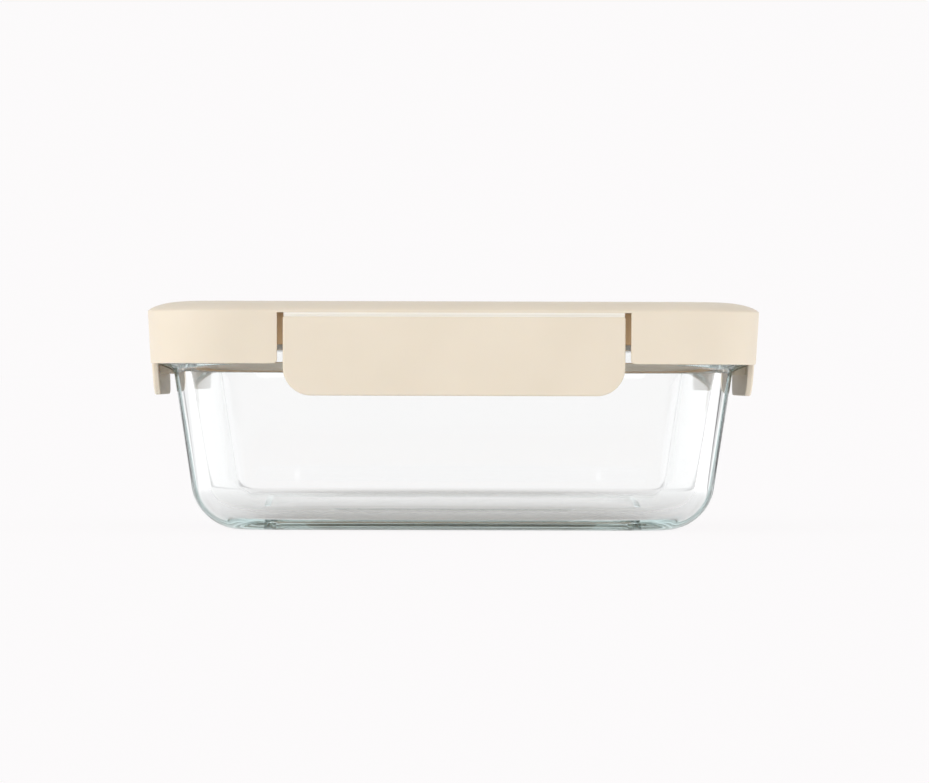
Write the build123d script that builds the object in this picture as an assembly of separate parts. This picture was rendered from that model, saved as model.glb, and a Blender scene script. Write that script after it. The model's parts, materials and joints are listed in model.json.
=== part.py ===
from build123d import *
import math
import os

# A rectangular glass food dish closed by a soft-cornered plastic lid with four snap flaps.
# Millimetres. +Z is up, +X runs along the long side and -Y is the front. The origin is the
# centre of the base. An "inset" is a distance inward from the lid's widest outline, which is
# its shoulder, so every level of the dish and the lid is a rounded rectangle at some inset.
# The flaps are moulded with the lid: each hangs from a thin strip of plastic, its living
# hinge, which bends along an upper and a lower line.

# Lid outline and levels
LID_LENGTH = 207.0
LID_WIDTH = 152.0
LID_CORNER = 28.0
LID_TOP = 77.5
SHOULDER_Z = 74.0
SKIRT_Z = 56.4
LEAN = math.radians(3.4)  # the skirt and the flaps lean inward on the way down
CROWN_RUN = 17.0  # how far in from the shoulder the soft crown reaches
SKIN = 2.0
PLATE = 2.2
SKIRT_EDGE = 0.5

# Shallow tray in the lid's top, which holds the foot of a second dish
TRAY_INSET = 21.5
TRAY_DEPTH = 1.2

# Dish
RIM_Z = 61.0
RIM_INSET = 3.8
RIM_ROUND = 1.2
FLANGE_TIP_Z = 56.4  # underside of the flange at its outer edge
FLANGE_ROOT_Z = 54.6  # and where it meets the wall
ROOT_INSET = 8.64
DRAFT = math.radians(8.6)
GLASS = 5.6
FLOOR = 6.0
OUTER_BEND = 17.0
INNER_BEND = 11.0
CORNER_TAPER = 0.6  # how fast the dish's corner radius falls with inset
FOOT_INSET = 40.0
FOOT_RECESS = 0.5

# Gasket channel under the lid: two walls with short ribs between, on which the gasket bears.
# Both walls end above the rim, and the skirt centres the lid on the flange.
CHANNEL_INSET = 4.4
CHANNEL_WALL = 1.6
CHANNEL_Z = 62.8
INNER_WALL_INSET = 12.6
INNER_WALL_Z = 61.6
SEAT_Z = 66.1
SEAT_RIB = 1.2
SEAT_RIB_PITCH = 20.0
GASKET_PLAY = 0.3
GASKET_LIP = 1.6  # how far both edges of the sealing face are cut back
GASKET_Z = RIM_Z + 0.15

# Living hinges: the strip's two bend lines, in a skin that is thin there
UPPER_BEND_Z = 73.1
LOWER_BEND_Z = 72.1
WEB_THICKNESS = 0.5
WEB_GAP = 0.15
BEND_DEPTH = 0.35  # from the flap's outer face in to the bend lines

# Flaps
FLAP_WIDTHS = {"front": 114.4, "rear": 114.4, "left": 82.4, "right": 82.4}
FLAP_THICKNESS = 2.2
FLAP_Z = 45.7
FLAP_CORNER = 9.5
FLAP_SHOULDER = 1.5
FLAP_EDGE = 0.5
SLOT = 1.9
SLOT_FLARE = 1.2
WEB_SETBACK = 2.0

# Catch rib along the inside of each flap, which hooks under the flange
RIB_DEPTH = 4.5
RIB_Z = 52.9
RIB_SETBACK = 9.0
RIB_GAP = 0.7
RIB_END = 1.5

# Turn of each side about +Z from the front, and how far its shoulder is from the centre
SIDES = {
    "front": (0, LID_WIDTH / 2),
    "right": (90, LID_LENGTH / 2),
    "rear": (180, LID_WIDTH / 2),
    "left": (270, LID_LENGTH / 2),
}


def skin_inset(z):
    """Inset of the leaning outer skin of the skirt and the flaps."""
    return (SHOULDER_Z - z) * math.tan(LEAN)


def glass_inset(z):
    """Inset of the dish wall's outer face."""
    return ROOT_INSET + (FLANGE_ROOT_Z - z) * math.tan(DRAFT)


def flange_under_z(inset):
    """Height of the flange's sloping underside."""
    slope = (FLANGE_TIP_Z - FLANGE_ROOT_Z) / (ROOT_INSET - RIM_INSET)
    return FLANGE_TIP_Z - (inset - RIM_INSET) * slope


def lid_corner(inset):
    return LID_CORNER - inset


def dish_corner(inset):
    return LID_CORNER - CORNER_TAPER * inset


def stack(levels, corner):
    """Solid through rounded rectangles at (height, inset) levels, joined by straight sides."""
    plans = [
        Pos(0, 0, z) * RectangleRounded(LID_LENGTH - 2 * inset, LID_WIDTH - 2 * inset, corner(inset))
        for z, inset in levels
    ]
    return loft(plans, ruled=True)


def band(outer, inner, low, high, inner_corner=lid_corner):
    """Upright ring between two insets; one that faces the dish takes the dish's corners."""
    wall = stack([(low, outer), (high, outer)], lid_corner)
    return wall - stack([(low - 1, inner), (high + 1, inner)], inner_corner)


def bend_levels(floor_z, radius, offset, steps=8):
    """Levels up the round between a floor and the drafted wall, tangent to both."""
    centre_z = floor_z + radius
    wall = glass_inset(centre_z - radius * math.sin(DRAFT)) + offset
    centre_inset = wall + radius * math.cos(DRAFT)
    levels = []
    for step in range(steps + 1):
        angle = math.pi / 2 + (DRAFT - math.pi / 2) * step / steps
        levels.append((centre_z - radius * math.sin(angle), centre_inset - radius * math.cos(angle)))
    return levels


def make_dish():
    outside = bend_levels(0, OUTER_BEND, 0) + [
        (FLANGE_ROOT_Z, ROOT_INSET),
        (FLANGE_TIP_Z, RIM_INSET),
        (RIM_Z - RIM_ROUND, RIM_INSET),
        (RIM_Z, RIM_INSET + RIM_ROUND),
    ]
    lip_z = RIM_Z - RIM_ROUND
    lip_inset = glass_inset(lip_z) + GLASS
    inside = bend_levels(FLOOR, INNER_BEND, GLASS) + [
        (lip_z, lip_inset),
        (lip_z + 2 * RIM_ROUND, lip_inset - 2 * RIM_ROUND),
    ]
    recess = [(-1, FOOT_INSET), (FOOT_RECESS, FOOT_INSET)]
    return stack(outside, dish_corner) - stack(inside, dish_corner) - stack(recess, dish_corner)


def crown_levels(steps=9):
    """Levels from the shoulder, over the soft crown, to the flat top."""
    levels = []
    for step in range(steps + 1):
        run = (step / steps) ** 1.6
        rise = (1 - (1 - run) ** 2.6) ** 0.69
        levels.append((SHOULDER_Z + rise * (LID_TOP - SHOULDER_Z), run * CROWN_RUN))
    return levels


def make_cover():
    """Crowned top and skirt, hollow below, with the stacking tray in the top."""
    outside = [
        (SKIRT_Z, skin_inset(SKIRT_Z) + SKIRT_EDGE),
        (SKIRT_Z + SKIRT_EDGE, skin_inset(SKIRT_Z)),
    ] + crown_levels()
    inside = [(SKIRT_Z - 1, skin_inset(SKIRT_Z) + SKIN)]
    inside += [(z - PLATE, inset + SKIN) for z, inset in crown_levels()]
    tray_z = LID_TOP - TRAY_DEPTH
    panel = [(tray_z - PLATE, TRAY_INSET - PLATE), (LID_TOP - PLATE / 2, TRAY_INSET - PLATE)]
    tray = [(tray_z, TRAY_INSET + TRAY_DEPTH), (LID_TOP + 1, TRAY_INSET - 1)]
    cover = stack(outside, lid_corner) - stack(inside, lid_corner)
    return cover + stack(panel, dish_corner) - stack(tray, dish_corner)


def make_channel():
    """Both walls of the gasket channel and the ribs between them."""
    outer_wall = band(CHANNEL_INSET, CHANNEL_INSET + CHANNEL_WALL, CHANNEL_Z, SHOULDER_Z + 1)
    inner_face = INNER_WALL_INSET + CHANNEL_WALL
    outside = [(INNER_WALL_Z, INNER_WALL_INSET), (LID_TOP - PLATE / 2, INNER_WALL_INSET)]
    hollow = [(INNER_WALL_Z - 1, inner_face), (LID_TOP, inner_face)]
    inner_wall = stack(outside, dish_corner) - stack(hollow, dish_corner)
    rib_top = SHOULDER_Z + 1.6
    half_wall = CHANNEL_WALL / 2
    space = band(CHANNEL_INSET + half_wall, INNER_WALL_INSET + half_wall, SEAT_Z, rib_top, dish_corner)
    middle = Pos(0, 0, (SEAT_Z + rib_top) / 2)
    height = rib_top - SEAT_Z
    across = GridLocations(SEAT_RIB_PITCH, 1, 8, 1) * Box(SEAT_RIB, LID_WIDTH, height)
    along = GridLocations(1, SEAT_RIB_PITCH, 1, 5) * Box(LID_LENGTH, SEAT_RIB, height)
    seat = [(middle * rib) & space for rib in across + along]
    return outer_wall + inner_wall + seat


def flap_window(width):
    """Opening in the skirt of the front side for a flap and its two slots."""
    half = width / 2 + SLOT
    top = UPPER_BEND_Z + WEB_THICKNESS / 2 + WEB_GAP
    outline = Polygon(
        (-half, top),
        (-half, SKIRT_Z + SLOT_FLARE),
        (-half - SLOT_FLARE, SKIRT_Z),
        (-half - SLOT_FLARE, SKIRT_Z - 1),
        (half + SLOT_FLARE, SKIRT_Z - 1),
        (half + SLOT_FLARE, SKIRT_Z),
        (half, SKIRT_Z + SLOT_FLARE),
        (half, top),
        align=None,
    )
    upper_corners = outline.vertices().sort_by(Axis.Y)[-2:]
    outline = fillet(upper_corners, FLAP_SHOULDER)
    depth = (SKIN + CHANNEL_INSET) / 2 + skin_inset(SKIRT_Z) / 2
    return Pos(0, depth, 0) * extrude(Plane.XZ * outline, depth + 1)


def on_side(side, piece):
    """A piece made for the front shoulder line, moved to one side of the lid."""
    turn, reach = SIDES[side]
    return Rot(0, 0, turn) * Pos(0, -reach, 0) * piece


def make_lid_shell():
    cover = make_cover()
    for side, width in FLAP_WIDTHS.items():
        cover -= on_side(side, flap_window(width))
    return cover + make_channel()


def make_gasket():
    outer = CHANNEL_INSET + CHANNEL_WALL + GASKET_PLAY
    inner = INNER_WALL_INSET - GASKET_PLAY
    top = SEAT_Z - 0.1
    outside = [(GASKET_Z, outer + GASKET_LIP), (GASKET_Z + GASKET_LIP, outer), (top, outer)]
    inside = [(GASKET_Z, inner - GASKET_LIP), (GASKET_Z + GASKET_LIP, inner), (top, inner)]
    return stack(outside, lid_corner) - stack(inside, dish_corner)


def bend_inset():
    """Inset of both bend lines, just behind the outer face."""
    return skin_inset(LOWER_BEND_Z) + BEND_DEPTH


def make_web(width):
    """Thin strip of a living hinge, rounded about its two bend lines."""
    length = UPPER_BEND_Z - LOWER_BEND_Z
    section = Rot(0, 0, 90) * SlotCenterToCenter(length, WEB_THICKNESS)
    middle = Pos(0, bend_inset(), (UPPER_BEND_Z + LOWER_BEND_Z) / 2)
    half = width / 2 - WEB_SETBACK
    return middle * extrude(Plane.YZ * section, half, both=True)


def make_catch_rib(width):
    root = skin_inset(RIB_Z) + FLAP_THICKNESS
    tip = root + RIB_DEPTH
    inside_flap = root - FLAP_THICKNESS / 2
    section = Polygon(
        (inside_flap, flange_under_z(inside_flap) - RIB_GAP),
        (tip, flange_under_z(tip) - RIB_GAP),
        (tip, RIB_Z),
        (inside_flap, RIB_Z),
        align=None,
    )
    rib = extrude(Plane.YZ * section, width / 2 - RIB_SETBACK, both=True)
    end_edges = rib.edges().filter_by(Axis.Z).group_by(Axis.Y)[-1]
    return fillet(end_edges, RIB_END)


def make_flap(width):
    """Plate hanging from the lower bend line, with its catch rib."""
    top = -(WEB_THICKNESS / 2 + WEB_GAP)
    bottom = (FLAP_Z - LOWER_BEND_Z) / math.cos(LEAN)
    outline = Pos(0, (top + bottom) / 2) * Rectangle(width, top - bottom)
    outline = fillet(outline.vertices().group_by(Axis.Y)[0], FLAP_CORNER)
    outline = fillet(outline.vertices().group_by(Axis.Y)[-1], FLAP_SHOULDER)
    plate = Pos(0, FLAP_THICKNESS - BEND_DEPTH, 0) * extrude(Plane.XZ * outline, FLAP_THICKNESS)
    plate = fillet(plate.faces().sort_by(Axis.Y)[0].edges(), FLAP_EDGE)
    leaned = Pos(0, bend_inset(), LOWER_BEND_Z) * Rot(math.degrees(LEAN), 0, 0) * plate
    return leaned + make_catch_rib(width)


def make_parts():
    parts = {"glass_dish": make_dish(), "lid_shell": make_lid_shell(), "lid_gasket": make_gasket()}
    for side, width in FLAP_WIDTHS.items():
        parts[f"{side}_hinge_web"] = on_side(side, make_web(width))
        parts[f"{side}_flap"] = on_side(side, make_flap(width))
    return parts


os.makedirs("parts", exist_ok=True)
for name, shape in make_parts().items():
    export_step(shape, f"parts/{name}.step")
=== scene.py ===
import json
import math

import bmesh
import bpy
import numpy as np
from mathutils import Matrix, Vector


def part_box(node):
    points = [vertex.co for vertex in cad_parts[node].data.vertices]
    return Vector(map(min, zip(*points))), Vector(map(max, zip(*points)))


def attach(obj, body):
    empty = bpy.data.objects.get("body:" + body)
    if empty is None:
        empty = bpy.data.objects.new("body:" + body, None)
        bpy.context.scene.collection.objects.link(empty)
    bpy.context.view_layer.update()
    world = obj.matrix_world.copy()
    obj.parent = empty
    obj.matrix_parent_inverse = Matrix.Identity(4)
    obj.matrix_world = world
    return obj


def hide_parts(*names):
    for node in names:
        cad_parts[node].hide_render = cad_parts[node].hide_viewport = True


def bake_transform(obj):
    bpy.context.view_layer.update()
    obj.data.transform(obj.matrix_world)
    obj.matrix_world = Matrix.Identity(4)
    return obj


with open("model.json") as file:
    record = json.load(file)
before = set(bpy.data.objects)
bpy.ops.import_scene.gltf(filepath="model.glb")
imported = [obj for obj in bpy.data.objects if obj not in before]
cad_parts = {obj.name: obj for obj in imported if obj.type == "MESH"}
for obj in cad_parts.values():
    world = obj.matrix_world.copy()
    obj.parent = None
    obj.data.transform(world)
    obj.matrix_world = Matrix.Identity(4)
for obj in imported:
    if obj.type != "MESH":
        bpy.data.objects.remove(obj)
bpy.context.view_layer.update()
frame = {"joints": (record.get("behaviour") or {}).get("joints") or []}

# A snap lid food container: a clear glass dish, a cream plastic lid with four flaps on living
# hinges, and its gasket. Lengths are millimetres until a mesh is made. An "inset" is a distance
# inward from the lid's shoulder, its widest outline, so that every level of the dish and of the
# lid is a rounded rectangle at some inset.
MM = 0.001


def box_mm(node):
    """A CAD node's lowest and highest corners."""
    low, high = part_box(node)
    return np.array(low) / MM, np.array(high) / MM


LID_LOW, LID_HIGH = box_mm("lid_shell")
DISH_HIGH = box_mm("glass_dish")[1]
GASKET_LOW, GASKET_HIGH = box_mm("lid_gasket")
JOINTS = {joint["name"]: joint for joint in frame["joints"]}

# Lid
HALF_X, HALF_Y, LID_TOP = LID_HIGH
SKIRT_Z = LID_LOW[2]
LID_CORNER = 28.0
LEAST_CORNER = 3.0
CROWN_RISE = 3.5
CROWN_RUN = 17.0
CROWN_CORNER = 11.0
CROWN_CURVE = (2.6, 0.69)  # powers that bend the crown from its flat top into the shoulder
SHOULDER_Z = LID_TOP - CROWN_RISE
LEAN = math.radians(3.4)
SKIN = 2.0
PLATE = 2.2
BAND_Z = SHOULDER_Z - 0.5  # lower edge of the band above the flaps
BAND_INSET = 4.35  # where that level meets the underside of the top
TRAY_INSET = 21.5
TRAY_DEPTH = 1.2
TRAY_CORNER = 15.0
TRAY_EDGE = 0.9
TRAY_WALL = 1.5
CENTRE_INSET = 60.0  # the flat middle of a floor or top starts here
SLOT = 1.9
SLOT_FLARE = 1.4  # radius that widens each slot at its lower end
SKIRT_END = 0.5  # roundings of the skirt's ends and of its lower edge
SKIRT_EDGE = 0.5

# Gasket channel
CHANNEL_INSET = 4.4
CHANNEL_Z = 62.8
INNER_WALL_INSET = 12.6
INNER_WALL_Z = 61.6
CHANNEL_WALL = 1.6
CHANNEL_EDGE = 0.5
CHANNEL_ROOT = 1.0  # how far the outer wall reaches above the shoulder, into the crown
SEAT_Z = GASKET_HIGH[2] + 0.1
SEAT_ROOT = 1.6  # the same for the seat ribs
SEAT_RIB_HALF = 0.6
SEAT_RIBS_X = (-70, -50, -30, -10, 10, 30, 50, 70)
SEAT_RIBS_Y = (-40, -20, 0, 20, 40)
GASKET_LIP = 1.6
GASKET_LIP_EDGE = 0.6
GASKET_EDGE = 0.5
GASKET_PLAY = 0.3

# Dish
RIM_Z = DISH_HIGH[2]
RIM_INSET = HALF_X - DISH_HIGH[0]
RIM_EDGE = 1.5
FLANGE_TIP_Z = RIM_Z - 4.6
FLANGE_TIP_EDGE = 0.9
FLANGE_ROOT_Z = RIM_Z - 6.4
FLANGE_ROOT_BEND = 2.2
ROOT_INSET = 8.64
DRAFT = math.radians(8.6)
GLASS = 5.6
FLOOR = 6.0
OUTER_BEND = 17.0
INNER_BEND = 11.0
CORNER_LOSS = 0.6  # how much smaller the dish's corners get for each millimetre of inset
FOOT_STEP = (39.2, 41.2)  # insets between which the foot rises to its recess
FOOT_STEP_EDGE = 0.9
FOOT_RECESS = 0.5
STIPPLE_INSETS = (34.2, 38.6)
STIPPLE_ROWS = 11
STIPPLE_HALF = 40.0
STIPPLE_DEPTH = 0.25

# Flaps
FLAP_THICKNESS = 2.2
FLAP_GAP = 0.4  # from the lower bend line to the flap's top edge
BEND_DEPTH = 0.35  # of the bend lines behind the outer face
FLAP_CORNER = 9.5
FLAP_SHOULDER = 0.5
LEAST_SHOULDER = 0.2
FLAP_EDGE = 0.7
FLAP_INNER_EDGE = 0.4
INNER_MARGIN = 3.6  # of the inner face's row
FACE_MARGINS = (1.0, 1.4, 1.9, 2.5, 3.2, 4.0)  # of the rows that carry the roll of the outer face
LIP_RISE = 0.75  # how far the outer face reaches above the rest of the flap's top edge
LIP_DEPTH = 1.0
ROLL_HEIGHT = 3.2  # the outer face rolls back over this height to meet the hinge
ROLL_DEPTH = 0.5
RIB_DEPTH = 4.5
RIB_Z = 52.9
RIB_GAP = 0.7
RIB_SETBACK = 9.0
RIB_END = 1.5
RIB_EDGE = 0.5
WEB_THICKNESS = 0.5
WEB_SETBACK = 0.3
WEB_OVERLAP = 0.3  # into the band above and the flap below
# Depth of the hinge strip behind the skin, by distance below its upper bend line
HINGE_PROFILE = (
    (-0.7, 0.12), (-0.35, 0.12), (-0.2, 0.03), (0, 0), (0.2, 0.05), (0.4, 0.3), (0.7, 0.5), (1.7, 0.7),
)

# Turn of each side about +Z from the front, and how far its shoulder is from the centre
SIDES = {"front": (0, HALF_Y), "right": (90, HALF_X), "rear": (180, HALF_Y), "left": (270, HALF_X)}
FLAP_HALF = {"front": 57.2, "rear": 57.2, "left": 41.2, "right": 41.2}


# ---------------------------------------------------------------- shape helpers

class Shell:
    """Collects faces by their corner points, and welds them into one mesh."""

    def __init__(self):
        self.index = {}
        self.points = []
        self.faces = []

    def vertex(self, point):
        key = tuple(round(float(value), 4) for value in point)
        if key not in self.index:
            self.index[key] = len(self.points)
            self.points.append(key)
        return self.index[key]

    def face(self, corners):
        ids = [self.vertex(corner) for corner in corners]
        ids = [a for a, b in zip(ids, ids[1:] + ids[:1]) if a != b]
        if len(set(ids)) > 2:
            self.faces.append(ids)

    def strip(self, row, other, closed=True):
        """Quads between two rows of points."""
        count = len(row) if closed else len(row) - 1
        for i in range(count):
            j = (i + 1) % len(row)
            self.face((row[i], row[j], other[j], other[i]))

    def loft(self, rows, closed=True):
        for row, other in zip(rows, rows[1:]):
            self.strip(row, other, closed)

    def make(self, name, sharp=35):
        """The mesh object, in metres, smooth except along edges sharper than that many degrees."""
        mesh = bpy.data.meshes.new(name)
        mesh.from_pydata([Vector(point) * MM for point in self.points], [], self.faces)
        work = bmesh.new()
        work.from_mesh(mesh)
        bmesh.ops.recalc_face_normals(work, faces=work.faces)
        work.to_mesh(mesh)
        work.free()
        mesh.shade_smooth()
        mesh.set_sharp_from_angle(angle=math.radians(sharp))
        piece = bpy.data.objects.new(name, mesh)
        bpy.context.scene.collection.objects.link(piece)
        return piece


def rounded(corners, step=math.radians(7), closed=False):
    """Path through (x, y, radius) corners, each rounded by an arc of its radius."""
    points = []
    count = len(corners)
    for i, (x, y, radius) in enumerate(corners):
        here = np.array((x, y), float)
        if not radius or (not closed and i in (0, count - 1)):
            points.append(here)
            continue
        before = np.array(corners[i - 1][:2]) - here
        after = np.array(corners[(i + 1) % count][:2]) - here
        before /= np.linalg.norm(before)
        after /= np.linalg.norm(after)
        half = math.acos(np.clip(before @ after, -1, 1)) / 2
        centre = here + (before + after) / np.linalg.norm(before + after) * radius / math.sin(half)
        start = here + before * radius / math.tan(half) - centre
        end = here + after * radius / math.tan(half) - centre
        turn = math.pi - 2 * half
        steps = max(2, math.ceil(turn / step))
        for k in range(steps + 1):
            a, b = math.sin(turn * (1 - k / steps)), math.sin(turn * k / steps)
            points.append(centre + (start * a + end * b) / math.sin(turn))
    return points


def quarter_turn(steps):
    """(1 - sine, 1 - cosine) at each step of a quarter turn, without its start."""
    angles = [math.pi / 2 * step / steps for step in range(1, steps + 1)]
    return [(1 - math.sin(angle), 1 - math.cos(angle)) for angle in angles]


def lid_corner(inset):
    """Corner radius of the lid: parallel outlines, then the tray's own larger corners."""
    insets = (0, CROWN_RUN, TRAY_INSET, CENTRE_INSET)
    return float(np.interp(inset, insets, (LID_CORNER, CROWN_CORNER, TRAY_CORNER, LEAST_CORNER)))


def dish_corner(inset):
    """Corner radius of the dish, whose inner outlines are rounder than parallel ones would be."""
    return max(LID_CORNER - CORNER_LOSS * inset, LEAST_CORNER)


def quarter(inset, z, corner, along_x, along_y, arc):
    """A quarter of a rounded rectangle, from the middle of the front to the middle of the right."""
    x, y, radius = HALF_X - inset, HALF_Y - inset, corner(inset)
    front = [(t * (x - radius), -y, z) for t in along_x]
    bend = []
    for i in range(1, arc):
        angle = math.pi / 2 * (i / arc - 1)
        bend.append((x - radius + radius * math.cos(angle), radius - y + radius * math.sin(angle), z))
    side = [(x, -t * (y - radius), z) for t in reversed(along_y)]
    return np.array(front + bend + side)


def ring(inset, z, corner, along_x, along_y, arc):
    """The whole rounded rectangle, counter-clockwise from the middle of the front."""
    first = quarter(inset, z, corner, along_x, along_y, arc)
    second = first[::-1] * (1, -1, 1)
    third = first * (-1, -1, 1)
    fourth = first[::-1] * (-1, 1, 1)
    return np.concatenate([part[:-1] for part in (first, second, third, fourth)])


def shares(*stretches):
    """Positions from 0 to 1 through stretches of (end, number of steps)."""
    positions = [0.0]
    for end, steps in stretches:
        positions += list(np.linspace(positions[-1], end, steps + 1)[1:])
    return positions


def skin_inset(z):
    """Inset of the leaning outer skin of the skirt and the flaps."""
    return (SHOULDER_Z - z) * math.tan(LEAN)


def glass_inset(z):
    """Inset of the dish wall's outer face."""
    return ROOT_INSET + (FLANGE_ROOT_Z - z) * math.tan(DRAFT)


def flange_under_z(inset):
    """Height of the flange's sloping underside."""
    slope = (FLANGE_TIP_Z - FLANGE_ROOT_Z) / (ROOT_INSET - RIM_INSET)
    return FLANGE_TIP_Z - (inset - RIM_INSET) * slope


def on_side(side, points):
    """Points made about the front shoulder line, moved to one side of the lid."""
    turn, reach = SIDES[side]
    place = Matrix.Rotation(math.radians(turn), 4, "Z") @ Matrix.Translation((0, -reach, 0))
    return [tuple(place @ Vector(point)) for point in points]


def smooth_step(value):
    """Eases from 0 to 1, and stays there outside that range."""
    value = np.clip(value, 0, 1)
    return value * value * (3 - 2 * value)


# ---------------------------------------------------------------- dish

DISH_ALONG = (shares((1, 64)), shares((1, 40)))
DISH_ARC = 40


def dimple(rows):
    """Raises every other point of the stipple's rows, like a chessboard."""
    for i, row in enumerate(rows):
        dimpled = (np.arange(len(row)) + i + 1) % 2 == 0
        dimpled &= abs(row[:, 0]) < STIPPLE_HALF
        row[dimpled, 2] += STIPPLE_DEPTH


def make_dish():
    """Closed glass body, from the middle of its foot, up outside, over the rim and down inside."""
    foot = rounded([
        (CENTRE_INSET, FOOT_RECESS, 0),
        (FOOT_STEP[1], FOOT_RECESS, FOOT_STEP_EDGE),
        (FOOT_STEP[0], 0, FOOT_STEP_EDGE),
        (STIPPLE_INSETS[1], 0, 0),
    ])
    stipple = [(inset, 0) for inset in np.linspace(*STIPPLE_INSETS[::-1], STIPPLE_ROWS)]
    body = rounded([
        (STIPPLE_INSETS[0], 0, 0),
        (glass_inset(0), 0, OUTER_BEND),
        (ROOT_INSET, FLANGE_ROOT_Z, FLANGE_ROOT_BEND),
        (RIM_INSET, FLANGE_TIP_Z, FLANGE_TIP_EDGE),
        (RIM_INSET, RIM_Z, RIM_EDGE),
        (glass_inset(RIM_Z) + GLASS, RIM_Z, RIM_EDGE),
        (glass_inset(FLOOR) + GLASS, FLOOR, INNER_BEND),
        (CENTRE_INSET, FLOOR, 0),
    ], step=math.radians(5))
    path = foot[:-1] + stipple + body[1:]
    rows = [ring(inset, z, dish_corner, *DISH_ALONG, DISH_ARC) for inset, z in path]
    dimple(rows[len(foot):len(foot) + STIPPLE_ROWS - 2])
    shell = Shell()
    shell.loft(rows)
    shell.face(rows[0])
    shell.face(rows[-1])
    return shell.make("dish_glass", sharp=50)


# ---------------------------------------------------------------- lid

# Where the straight sides end, and the edges of the windows that the flaps hang in
LID_X = HALF_X - LID_CORNER
LID_Y = HALF_Y - LID_CORNER
WINDOW_X = FLAP_HALF["front"] + SLOT
WINDOW_Y = FLAP_HALF["left"] + SLOT
WINDOW_STEPS = 14
LID_ARC = 20


def lid_lines(side_half, window_edge):
    """Positions along half a straight side, with lines at the window's edge and at its rounding."""
    edge, rounding = window_edge / side_half, (window_edge + SKIRT_END) / side_half
    return shares((edge, WINDOW_STEPS), (rounding, 1), (1, 4))


LID_ALONG = (lid_lines(LID_X, WINDOW_X), lid_lines(LID_Y, WINDOW_Y))


def lid_ring(inset, z):
    """One level of the lid's top."""
    return ring(inset, z, lid_corner, *LID_ALONG, LID_ARC)


def crown(steps=22):
    """(inset, height) down the soft crown, from the flat top to the shoulder."""
    points = []
    for step in range(steps, -1, -1):
        run = (step / steps) ** 2
        rise = (1 - (1 - run) ** CROWN_CURVE[0]) ** CROWN_CURVE[1]
        points.append((run * CROWN_RUN, SHOULDER_Z + rise * CROWN_RISE))
    return points


def skirt_path(inset, z, end, first):
    """Along one skirt corner at an inset, from the front slot to the side slot."""
    x_lines = [t * LID_X for t in LID_ALONG[0][WINDOW_STEPS + first:]]
    y_lines = [t * LID_Y for t in LID_ALONG[1][WINDOW_STEPS + first:]]
    x_lines[0] += end
    y_lines[0] += end
    x, y, radius = HALF_X - inset, HALF_Y - inset, LID_CORNER - inset
    bend = []
    for i in range(1, LID_ARC):
        angle = math.pi / 2 * (i / LID_ARC - 1)
        bend.append((LID_X + radius * math.cos(angle), radius * math.sin(angle) - LID_Y, z))
    return [(line, -y, z) for line in x_lines] + bend + [(x, -line, z) for line in reversed(y_lines)]


def skirt_level(z, shrink=0.0):
    """Outer path, side end, inner path and front end of the front right skirt corner."""
    low = z - SKIRT_Z
    flare = SLOT_FLARE - math.sqrt(SLOT_FLARE ** 2 - max(SLOT_FLARE - low, 0) ** 2)
    end = flare + shrink
    face = skin_inset(z) + shrink
    outer = skirt_path(face, z, end, 1)
    inner = skirt_path(skin_inset(z) + SKIN - shrink, z, end, 0)
    curve = [(end + SKIRT_END * along, face + SKIRT_END * inward) for along, inward in quarter_turn(4)]
    front = [(WINDOW_X + along, inset - HALF_Y, z) for along, inset in curve]
    side = [(HALF_X - inset, -WINDOW_Y - along, z) for along, inset in curve]
    return outer, side, inner, front


def mirrored(points, x_sign, y_sign):
    """Points of the front right corner, taken to another corner."""
    return [(x * x_sign, y * y_sign, z) for x, y, z in points]


def add_skirt_corner(shell, x_sign, y_sign):
    """One skirt corner: walls, rounded slot ends, lower edge, and its joint to the band above."""
    levels = [(BAND_Z, 0.0)]
    levels += [(z, 0.0) for z in np.linspace(BAND_Z, SKIRT_Z + SLOT_FLARE, 8)[1:]]
    levels += [(z, 0.0) for z in np.linspace(SKIRT_Z + SLOT_FLARE, SKIRT_Z + SKIRT_EDGE, 4)[1:]]
    levels += [(SKIRT_Z + SKIRT_EDGE * above, SKIRT_EDGE * inward) for above, inward in quarter_turn(4)]
    rows = []
    for z, shrink in levels:
        outer, side, inner, front = skirt_level(z, shrink)
        rows.append(mirrored(outer + side + inner[::-1] + front[::-1], x_sign, y_sign))
    shell.loft(rows)
    z, shrink = levels[-1]
    outer, side, inner, front = (mirrored(part, x_sign, y_sign) for part in skirt_level(z, shrink))
    shell.strip(outer, inner[1:-1], closed=False)
    shell.face([outer[0]] + front + inner[:2])
    shell.face([outer[-1]] + side + inner[:-3:-1])
    add_band_floor(shell, x_sign, y_sign)


def add_band_floor(shell, x_sign, y_sign):
    """Flat underside of the band, round the top of one skirt corner and over half of two windows."""
    side, inner, front = (mirrored(part, x_sign, y_sign) for part in skirt_level(BAND_Z)[1:])
    rim, root = (
        mirrored(quarter(inset, BAND_Z, lid_corner, *LID_ALONG, LID_ARC), x_sign, y_sign)
        for inset in (skin_inset(BAND_Z), BAND_INSET)
    )
    last = WINDOW_STEPS
    shell.strip(inner, root[last:-last], closed=False)
    for line, end, edge in ((rim, front, inner[0]), (rim[::-1], side, inner[-1])):
        inside = root if line is rim else root[::-1]
        shell.strip(line[:last], inside[:last], closed=False)
        shell.face([line[last - 1], line[last], end[-1], edge, inside[last], inside[last - 1]])
        shell.face([line[last], line[last + 1]] + end)


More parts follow.
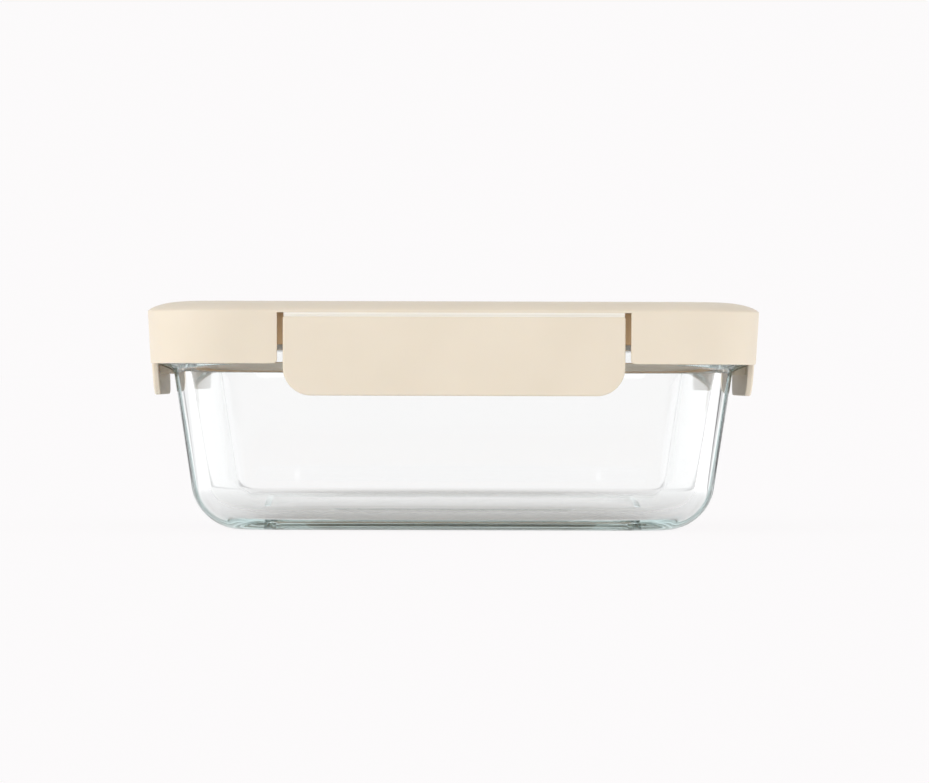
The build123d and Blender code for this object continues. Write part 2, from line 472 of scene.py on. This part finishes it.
def make_lid_shell():
    """Crowned top with its tray, and four skirt corners."""
    tray_z = LID_TOP - TRAY_DEPTH
    tray = [
        (CENTRE_INSET, tray_z, 0),
        (TRAY_INSET + TRAY_DEPTH, tray_z, TRAY_DEPTH),
        (TRAY_INSET, LID_TOP, TRAY_EDGE),
        (CROWN_RUN + 1, LID_TOP, 0),
    ]
    top = rounded(tray) + crown() + [(skin_inset(BAND_Z), BAND_Z)]
    under = [(BAND_INSET, BAND_Z)]
    under += [(x + SKIN, z - PLATE) for x, z in crown()[::-1] if x + SKIN > BAND_INSET]
    under += [(TRAY_INSET - TRAY_WALL, tray_z - PLATE), (CENTRE_INSET, tray_z - PLATE)]
    shell = Shell()
    top_rows = [lid_ring(inset, z) for inset, z in top]
    under_rows = [lid_ring(inset, z) for inset, z in under]
    shell.loft(top_rows)
    shell.loft(under_rows)
    shell.face(top_rows[0])
    shell.face(under_rows[-1])
    for x_sign in (1, -1):
        for y_sign in (1, -1):
            add_skirt_corner(shell, x_sign, y_sign)
    return shell.make("lid_cover", sharp=30)


WALL_ALONG = (shares((1, 24)), shares((1, 16)))


def add_ring_wall(shell, section, corner):
    """Ring of a closed (inset, z, radius) section."""
    path = rounded(section, step=math.radians(22), closed=True)
    rows = [ring(inset, z, corner, *WALL_ALONG, LID_ARC) for inset, z in path]
    shell.loft(rows + rows[:1])


def add_channel_wall(shell, inset, low, high, corner):
    """Upright wall of the channel, rounded along its lower edges."""
    inside = inset + CHANNEL_WALL
    foot = [(inside, low, CHANNEL_EDGE), (inset, low, CHANNEL_EDGE)]
    add_ring_wall(shell, foot + [(inset, high, 0), (inside, high, 0)], corner)


def add_block(shell, low, high):
    """Box between two corners."""
    x0, y0, z0 = low
    x1, y1, z1 = high
    base = [(x0, y0), (x1, y0), (x1, y1), (x0, y1)]
    bottom = [(x, y, z0) for x, y in base]
    top = [(x, y, z1) for x, y in base]
    shell.strip(bottom, top)
    shell.face(bottom)
    shell.face(top)


def make_channel():
    """Gasket channel walls, and the seat ribs that the gasket bears on."""
    shell = Shell()
    add_channel_wall(shell, CHANNEL_INSET, CHANNEL_Z, SHOULDER_Z + CHANNEL_ROOT, lid_corner)
    add_channel_wall(shell, INNER_WALL_INSET, INNER_WALL_Z, LID_TOP - PLATE / 2, dish_corner)
    insets = (CHANNEL_INSET + CHANNEL_WALL / 2, INNER_WALL_INSET + CHANNEL_WALL / 2)
    top, half = SHOULDER_Z + SEAT_ROOT, SEAT_RIB_HALF
    for sign in (1, -1):
        x_ends = sorted(sign * (HALF_X - inset) for inset in insets)
        y_ends = sorted(sign * (HALF_Y - inset) for inset in insets)
        for x in SEAT_RIBS_X:
            add_block(shell, (x - half, y_ends[0], SEAT_Z), (x + half, y_ends[1], top))
        for y in SEAT_RIBS_Y:
            add_block(shell, (x_ends[0], y - half, SEAT_Z), (x_ends[1], y + half, top))
    return shell.make("lid_gasket_channel", sharp=30)


def make_gasket():
    """Silicone ring with a rounded sealing lip."""
    outer = HALF_X - GASKET_HIGH[0]
    inner = INNER_WALL_INSET - GASKET_PLAY
    low, high = GASKET_LOW[2], GASKET_HIGH[2]
    section = [
        (outer, low + GASKET_LIP, GASKET_EDGE),
        (outer, high, GASKET_EDGE),
        (inner, high, GASKET_EDGE),
        (inner, low + GASKET_LIP, GASKET_EDGE),
        (inner - GASKET_LIP, low, GASKET_LIP_EDGE),
        (outer + GASKET_LIP, low, GASKET_LIP_EDGE),
    ]
    shell = Shell()
    add_ring_wall(shell, section, lid_corner)
    return shell.make("gasket_ring")


# ---------------------------------------------------------------- flaps

def bend_inset(side):
    """Inset of a flap's bend lines."""
    x, y = JOINTS[f"{side}_flap_open"]["pos_m"][:2]
    return SIDES[side][1] - math.hypot(x, y) / MM


def bend_z(side, joint):
    """Height of one of a side's two bend lines."""
    return JOINTS[f"{side}_{joint}"]["pos_m"][2] / MM


def flap_height(side):
    """From a flap's top edge to its lower edge, along its lean."""
    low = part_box(f"{side}_flap")[0][2] / MM
    return (bend_z(side, "flap_open") - low) / math.cos(LEAN) - FLAP_GAP


FLAP_DROPS = shares((0.06, 3), (0.25, 4), (1, 5))  # closer together near the top, where the face rolls


def flap_outline(side, margin):
    """Points (across, down) round a flap's outline, moved inward by a margin."""
    half, height = FLAP_HALF[side] - margin, flap_height(side)
    top, bottom = margin, height - margin
    small, large = max(FLAP_SHOULDER - margin, LEAST_SHOULDER), FLAP_CORNER - margin
    right = [(x, top) for x in np.linspace(0, half - small, 15)]
    right += [(half - small * beside, top + small * below) for beside, below in quarter_turn(4)]
    drop = bottom - large - top - small
    right += [(half, top + small + drop * share) for share in FLAP_DROPS[1:]]
    right += [(half - large * beside, bottom - large * above) for above, beside in quarter_turn(12)]
    right += [(x, bottom) for x in np.linspace(half - large, 0, 15)[1:]]
    left = [(-x, down) for x, down in right[-2:0:-1]]
    return right + left


def flap_place(side, across, down, depth):
    """Point on a hanging flap: depth is measured in from its outer face."""
    below = FLAP_GAP + down
    inward = depth - BEND_DEPTH
    y = bend_inset(side) + below * math.sin(LEAN) + inward * math.cos(LEAN)
    z = bend_z(side, "flap_open") - below * math.cos(LEAN) + inward * math.sin(LEAN)
    return across, y, z


def flap_levels():
    """(margin, depth) from the inside face, round both edges, and over the outer face."""
    inner, edge = FLAP_INNER_EDGE, FLAP_EDGE
    levels = [(INNER_MARGIN, FLAP_THICKNESS), (inner, FLAP_THICKNESS)]
    levels += [(inner * margin, FLAP_THICKNESS - inner * depth) for margin, depth in quarter_turn(5)]
    levels += [(edge * margin, edge * depth) for margin, depth in reversed(quarter_turn(5))]
    levels += [(margin, 0) for margin in (edge, *FACE_MARGINS)]
    return levels


def flap_rows(side):
    """Rows of points from the middle of the inside, round the edge, to the middle of the outside."""
    rows = []
    for margin, depth in flap_levels():
        outer = 1 - min(depth / LIP_DEPTH, 1)
        row = []
        for across, down in flap_outline(side, margin):
            raised = down - outer * LIP_RISE * (1 - smooth_step(down / (2 * ROLL_HEIGHT)))
            roll = outer * ROLL_DEPTH * max(1 - (raised + LIP_RISE) / ROLL_HEIGHT, 0) ** 2
            row.append(flap_place(side, across, raised, depth + roll))
        rows.append(on_side(side, row))
    return rows


def add_catch_rib(shell, side):
    """Rib inside a flap that hooks under the glass flange, rounded in plan at its ends."""
    root = skin_inset(RIB_Z) + FLAP_THICKNESS
    half = FLAP_HALF[side] - RIB_SETBACK
    lines = list(np.linspace(0, half - RIB_END, 13))
    lines += [half - RIB_END * short for short, _ in quarter_turn(5)]
    lines = [-line for line in lines[:0:-1]] + lines
    rows = []
    for across in lines:
        past = max(abs(across) - (half - RIB_END), 0)
        tip = root + RIB_DEPTH - RIB_END + math.sqrt(max(RIB_END ** 2 - past ** 2, 0))
        inside = root - FLAP_THICKNESS / 2
        section = [
            (inside, flange_under_z(inside) - RIB_GAP, 0),
            (tip, flange_under_z(tip) - RIB_GAP, RIB_EDGE),
            (tip, RIB_Z, RIB_EDGE),
            (inside, RIB_Z, 0),
        ]
        path = rounded(section, step=math.radians(20))
        rows.append(on_side(side, [(across, inset, z) for inset, z in path]))
    shell.loft(rows)
    shell.face(rows[0])
    shell.face(rows[-1])


def make_flap(side):
    """Snap flap with its catch rib."""
    shell = Shell()
    rows = flap_rows(side)
    shell.loft(rows)
    shell.face(rows[0])
    shell.face(rows[-1])
    add_catch_rib(shell, side)
    return shell.make(f"{side}_snap_flap", sharp=40)


def make_hinge_half(side, part):
    """Upper or lower half of a living hinge, a thin strip.

    It bulges along its upper bend line, and dips behind the flap's lip below that.
    """
    upper, lower = bend_z(side, "web_bend"), bend_z(side, "flap_open")
    middle = (upper + lower) / 2
    if part == "upper":
        high, low = BAND_Z + WEB_OVERLAP, middle
    else:
        high, low = middle, lower - FLAP_GAP - WEB_OVERLAP
    half = FLAP_HALF[side] - WEB_SETBACK
    shell = Shell()
    rows = []
    for z in np.linspace(high, low, 13):
        face = skin_inset(z) + float(np.interp(upper - z, *zip(*HINGE_PROFILE)))
        outside = [(x, face, z) for x in np.linspace(-half, half, 5)]
        inside = [(x, face + WEB_THICKNESS, z) for x in np.linspace(half, -half, 5)]
        rows.append(on_side(side, outside + inside))
    shell.loft(rows)
    shell.face(rows[0])
    shell.face(rows[-1])
    return shell.make(f"{side}_hinge_{part}")


# ---------------------------------------------------------------- materials

def new_material(name):
    """A node material and its shader."""
    material = bpy.data.materials.new(name)
    material.use_nodes = True
    return material, material.node_tree, material.node_tree.nodes["Principled BSDF"]


def add_node(tree, kind, inputs=(), **settings):
    """A node whose inputs are values or other nodes' sockets."""
    node = tree.nodes.new(kind)
    for name, value in settings.items():
        setattr(node, name, value)
    for name, value in dict(inputs).items():
        if isinstance(value, bpy.types.NodeSocket):
            tree.links.new(value, node.inputs[name])
        else:
            node.inputs[name].default_value = value
    return node


def noise(tree, scale, detail=2.0):
    """Noise over the object's own coordinates; scale is in waves per metre."""
    place = add_node(tree, "ShaderNodeTexCoord").outputs["Object"]
    node = add_node(tree, "ShaderNodeTexNoise", {"Vector": place, "Scale": scale, "Detail": detail})
    return node.outputs["Fac"]


def ramp(tree, factor, low, high, to_low, to_high):
    """Runs from to_low to to_high as the factor goes from low to high, and stays there outside."""
    inputs = {"Value": factor, "From Min": low, "From Max": high, "To Min": to_low, "To Max": to_high}
    return add_node(tree, "ShaderNodeMapRange", inputs).outputs["Result"]


def noise_ramp(tree, field, to_low, to_high):
    """Spreads the middle range of a noise field, where nearly all of it lies, over two values."""
    return ramp(tree, field, 0.3, 0.7, to_low, to_high)


def between(tree, factor, at_zero, at_one):
    """Mix of two values by a factor of 0 to 1."""
    return ramp(tree, factor, 0, 1, at_zero, at_one)


def times(tree, first, second):
    """Product of two values."""
    return add_node(tree, "ShaderNodeMath", {0: first, 1: second}, operation="MULTIPLY").outputs[0]


def profile(tree, factor, stops):
    """Brightness by stops of (angle, brightness); a factor of 0 to 1 runs from first to last stop."""
    node = add_node(tree, "ShaderNodeValToRGB", {"Fac": factor})
    elements = node.color_ramp.elements
    first, last = stops[0][0], stops[-1][0]
    elements[0].position, elements[1].position = 0, 1
    for angle, _ in stops[1:-1]:
        elements.new((angle - first) / (last - first))
    for element, (_, brightness) in zip(elements, stops):
        element.color = (brightness, brightness, brightness, 1)
    return node.outputs["Color"]


def mix_colours(tree, factor, first, second):
    """Mix of two colours by a factor of 0 to 1."""
    node = add_node(tree, "ShaderNodeMix", data_type="RGBA")
    tree.links.new(factor, node.inputs["Factor"])
    node.inputs["A"].default_value = (*first, 1)
    node.inputs["B"].default_value = (*second, 1)
    return node.outputs["Result"]


def mottle(tree, shader, waves, tones):
    """Base colour that drifts between two tones."""
    colour = mix_colours(tree, noise_ramp(tree, noise(tree, waves), 0, 1), *tones)
    tree.links.new(colour, shader.inputs["Base Color"])


def vary_roughness(tree, shader, field, smoothest, roughest):
    """Roughness that follows a noise field."""
    tree.links.new(noise_ramp(tree, field, smoothest, roughest), shader.inputs["Roughness"])


def roughen(tree, shader, field, strength, distance):
    """Bump of a noise field; distance in metres."""
    inputs = {"Height": field, "Strength": strength, "Distance": distance}
    bump = add_node(tree, "ShaderNodeBump", inputs)
    tree.links.new(bump.outputs["Normal"], shader.inputs["Normal"])


def set_subsurface(shader, weight, radius, scale):
    """Slight translucency; scale in metres."""
    shader.inputs["Subsurface Weight"].default_value = weight
    shader.inputs["Subsurface Radius"].default_value = radius
    shader.inputs["Subsurface Scale"].default_value = scale


def moulded_plastic(name, *tones):
    """Satin moulded polypropylene: faint mottling between two tones and a fine spark-eroded grain."""
    material, tree, shader = new_material(name)
    mottle(tree, shader, 45, tones)
    vary_roughness(tree, shader, noise(tree, 300, 3), 0.42, 0.52)
    roughen(tree, shader, noise(tree, 2600, 3), 0.12, 0.0001)
    shader.inputs["IOR"].default_value = 1.49
    shader.inputs["Specular IOR Level"].default_value = 0.45
    set_subsurface(shader, 0.12, (1.0, 0.7, 0.4), 0.0015)
    return material


def cream_plastic():
    """The lid and its flaps."""
    return moulded_plastic("cream_plastic", (0.768, 0.688, 0.556), (0.793, 0.713, 0.581))


def hinge_highlight_plastic():
    """The thin hinge strip, painted paler than the lid: a painted highlight for the light its bulging
    roll catches.
    """
    return moulded_plastic("hinge_highlight_plastic", (0.88, 0.84, 0.75), (0.90, 0.86, 0.77))


def shaded_plastic():
    """The channel under the lid, coloured amber as painted shade: it stands in for the warm light that
    arrives through the lid's translucent plastic.
    """
    return moulded_plastic("shaded_plastic", (0.80, 0.56, 0.31), (0.83, 0.59, 0.34))


def clear_glass():
    """Pressed borosilicate: faintly wavy surface, and a cool green tint that deepens with thickness."""
    material, tree, shader = new_material("clear_glass")
    shader.inputs["Base Color"].default_value = (1.0, 1.0, 1.0, 1)
    shader.inputs["Transmission Weight"].default_value = 1.0
    shader.inputs["IOR"].default_value = 1.474
    vary_roughness(tree, shader, noise(tree, 60), 0.0, 0.012)
    roughen(tree, shader, noise(tree, 28, 1), 0.02, 0.002)
    tint = add_node(tree, "ShaderNodeVolumeAbsorption", {"Color": (0.25, 0.72, 0.70, 1), "Density": 3.4})
    tree.links.new(tint.outputs["Volume"], tree.nodes["Material Output"].inputs["Volume"])
    return material


def shade_greyed_silicone():
    """Translucent white silicone with a matte, slightly mottled surface; its colour is greyed as painted
    shade for the shadowed gap where it sits.
    """
    material, tree, shader = new_material("gasket_silicone")
    mottle(tree, shader, 120, ((0.64, 0.62, 0.57), (0.70, 0.68, 0.63)))
    vary_roughness(tree, shader, noise(tree, 500), 0.5, 0.65)
    set_subsurface(shader, 0.3, (1.0, 0.9, 0.8), 0.002)
    return material


# ---------------------------------------------------------------- studio

# Lengths of studio and camera are metres
FLOOR_RADIUS = 60.0
FLOOR_GAP = 0.0002
STUDIO_TINT = (1.0, 0.985, 0.99, 1)
BACKDROP_LIGHT = 0.972
# Brightness of walls and floor by angle from straight behind, clockwise as seen from above: white,
# with softboxes at both sides, and narrow grey gaps that draw the glass's edges
SURROUND = (
    (-180, 1.0), (-130, 1.0), (-115, 1.5), (-75, 1.5), (-60, 1.0), (-48, 1.0), (-45, 0.45), (-40, 0.45),
    (-34, 1.1), (34, 1.1), (40, 0.55), (45, 0.55), (47, 1.0), (49, 1.0), (51, 0.05), (56, 0.05),
    (58, 1.0), (75, 1.7), (115, 1.7), (130, 1.0), (180, 1.0),
)
# Distances from the dish's centre, in metres, over which the floor takes on that pattern, and over
# which the dish's own shade on it ends
SURROUND_FROM = (0.11, 0.17)
SHADE_TO = (0.07, 0.11)
# Grey and glow of the floor as reflections and the glass meet it, away from the dish and in its shade
FLOOR_GREY = (0.20, 0.70)
FLOOR_GLOW = (0.77, 0.30)
# And as the camera meets it: nearly shadowless, and as bright as the backdrop
SEEN_GREY = 0.06
SEEN_GLOW = 0.922
# Brightness of the world by angle above the horizon
CEILING_LIGHT = ((0, 1.0), (12, 0.95), (35, 0.60), (90, 0.52))
KEY_LIGHT = 0.88
KEY_DIRECTION = (-0.60, -0.75, 0.30)
KEY_SPREAD = (0.70, 0.92)  # cosines of the angles at which the key light starts and is full


def surround(tree, place):
    """Brightness of the studio in the direction of a place or direction, seen from above."""
    x, y, _ = add_node(tree, "ShaderNodeSeparateXYZ", {"Vector": place}).outputs
    turn = add_node(tree, "ShaderNodeMath", {0: x, 1: y}, operation="ARCTAN2").outputs[0]
    return profile(tree, ramp(tree, turn, -math.pi, math.pi, 0, 1), SURROUND)


def camera_ray(tree):
    """1 where the camera itself looks, 0 for reflections, refractions and light."""
    return add_node(tree, "ShaderNodeLightPath").outputs["Is Camera Ray"]


def make_floor():
    """Plain pale floor, even to the camera, while the glass sees its shade and its surround."""
    mesh = bpy.data.meshes.new("floor")
    signs = ((-1, -1), (1, -1), (1, 1), (-1, 1))
    corners = [(x * FLOOR_RADIUS, y * FLOOR_RADIUS, -FLOOR_GAP) for x, y in signs]
    mesh.from_pydata(corners, [], [(0, 1, 2, 3)])
    floor = bpy.data.objects.new("floor", mesh)
    bpy.context.scene.collection.objects.link(floor)
    material, tree, shader = new_material("pale_floor")
    place = add_node(tree, "ShaderNodeNewGeometry").outputs["Position"]
    away = add_node(tree, "ShaderNodeVectorMath", {0: place}, operation="LENGTH").outputs["Value"]
    pattern = ramp(tree, away, *SURROUND_FROM, 1.0, surround(tree, place))
    close = ramp(tree, away, *SHADE_TO, 1, 0)
    grey = between(tree, pattern, 0, between(tree, close, *FLOOR_GREY))
    glow = times(tree, pattern, between(tree, close, *FLOOR_GLOW))
    seen = camera_ray(tree)
    grey = between(tree, seen, grey, SEEN_GREY)
    glow = between(tree, seen, glow, SEEN_GLOW)
    tint = add_node(tree, "ShaderNodeCombineColor", {"Red": grey, "Green": grey, "Blue": grey})
    tree.links.new(tint.outputs["Color"], shader.inputs["Base Color"])
    shader.inputs["Roughness"].default_value = 1.0
    shader.inputs["Specular IOR Level"].default_value = 0.0
    shader.inputs["Emission Color"].default_value = STUDIO_TINT
    tree.links.new(glow, shader.inputs["Emission Strength"])
    mesh.materials.append(material)


def make_world():
    """Soft white studio with a dimmer ceiling and a large key light in front."""
    world = bpy.data.worlds.new("studio")
    bpy.context.scene.world = world
    world.use_nodes = True
    tree = world.node_tree
    direction = add_node(tree, "ShaderNodeTexCoord").outputs["Generated"]
    upward = add_node(tree, "ShaderNodeSeparateXYZ", {"Vector": direction}).outputs["Z"]
    height = add_node(tree, "ShaderNodeMath", {0: upward}, operation="ARCSINE").outputs[0]
    rise = profile(tree, ramp(tree, height, 0, math.pi / 2, 0, 1), CEILING_LIGHT)
    facing = add_node(tree, "ShaderNodeVectorMath", {0: direction}, operation="DOT_PRODUCT")
    facing.inputs[1].default_value = Vector(KEY_DIRECTION).normalized()
    key = ramp(tree, facing.outputs["Value"], *KEY_SPREAD, 0.0, KEY_LIGHT)
    cove = times(tree, surround(tree, direction), rise)
    studio = add_node(tree, "ShaderNodeMath", {0: cove, 1: key}, operation="ADD").outputs[0]
    background = tree.nodes["Background"]
    background.inputs["Color"].default_value = STUDIO_TINT
    strength = between(tree, camera_ray(tree), studio, BACKDROP_LIGHT)
    tree.links.new(strength, background.inputs["Strength"])


CAMERA_AWAY = 1.713  # from the lid's front face
CAMERA_SIDE = -0.0144
CAMERA_HEIGHT = 0.0523
CAMERA_YAW = math.radians(0.598)
CAMERA_PITCH = math.radians(0.17)
CAMERA_ROLL = math.radians(0.15)
IMAGE_WIDTH = 929
FOCAL_PIXELS = 5139
SENSOR_WIDTH = 36.0


def make_camera():
    """Long lens, almost level with the base, a little left of the middle."""
    data = bpy.data.cameras.new("camera")
    data.sensor_width = SENSOR_WIDTH
    data.lens = FOCAL_PIXELS / IMAGE_WIDTH * SENSOR_WIDTH
    data.clip_end = 2 * FLOOR_RADIUS
    camera = bpy.data.objects.new("camera", data)
    bpy.context.scene.collection.objects.link(camera)
    turn = Matrix.Rotation(-CAMERA_YAW, 4, "Z") @ Matrix.Rotation(math.pi / 2 - CAMERA_PITCH, 4, "X")
    roll = Matrix.Rotation(CAMERA_ROLL, 4, "Z")
    place = Matrix.Translation((CAMERA_SIDE, -HALF_Y * MM - CAMERA_AWAY, CAMERA_HEIGHT))
    camera.matrix_world = place @ turn @ roll
    bpy.context.scene.camera = camera


# ---------------------------------------------------------------- assembly

def finish_piece(piece, material, slot_name, body, *nodes):
    """Gives a piece its material and body, and hides the CAD nodes it stands for."""
    piece.data.materials.append(material)
    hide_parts(*nodes)
    if body:
        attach(piece, body)


def add_hinge(side, material):
    """Both halves of a side's living hinge, made in place and left out of any body."""
    upper, lower = bend_z(side, "web_bend"), bend_z(side, "flap_open")
    halves = (("upper", "lid", f"{side}_web", upper), ("lower", f"{side}_web", f"{side}_flap", lower))
    for part, above, below, line in halves:
        half = make_hinge_half(side, part)
        finish_piece(half, material, "lid_plastic", None, f"{side}_hinge_web")
        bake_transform(half)


def make_container():
    """All pieces, with their materials and bodies."""
    plastic = cream_plastic()
    # Paler plastic of the hinge strips, a painted highlight
    painted_hinge_highlight = hinge_highlight_plastic()
    finish_piece(make_dish(), clear_glass(), "dish_glass", "dish", "glass_dish")
    finish_piece(make_lid_shell(), plastic, "lid_plastic", "lid", "lid_shell")
    # Channel walls in amber painted shade
    finish_piece(make_channel(), shaded_plastic(), "lid_plastic", "lid", "lid_shell")
    # Gasket silicone greyed as painted shade
    finish_piece(make_gasket(), shade_greyed_silicone(), "gasket_silicone", "lid", "lid_gasket")
    for side in SIDES:
        finish_piece(make_flap(side), plastic, "lid_plastic", f"{side}_flap", f"{side}_flap")
        add_hinge(side, painted_hinge_highlight)


LIGHT_BOUNCES = 32  # light runs a long way round inside the thick glass

make_camera()
make_world()
make_floor()
make_container()
scene = bpy.context.scene
scene.view_settings.view_transform = "Standard"
scene.cycles.max_bounces = LIGHT_BOUNCES
scene.cycles.transmission_bounces = LIGHT_BOUNCES
scene.cycles.glossy_bounces = LIGHT_BOUNCES
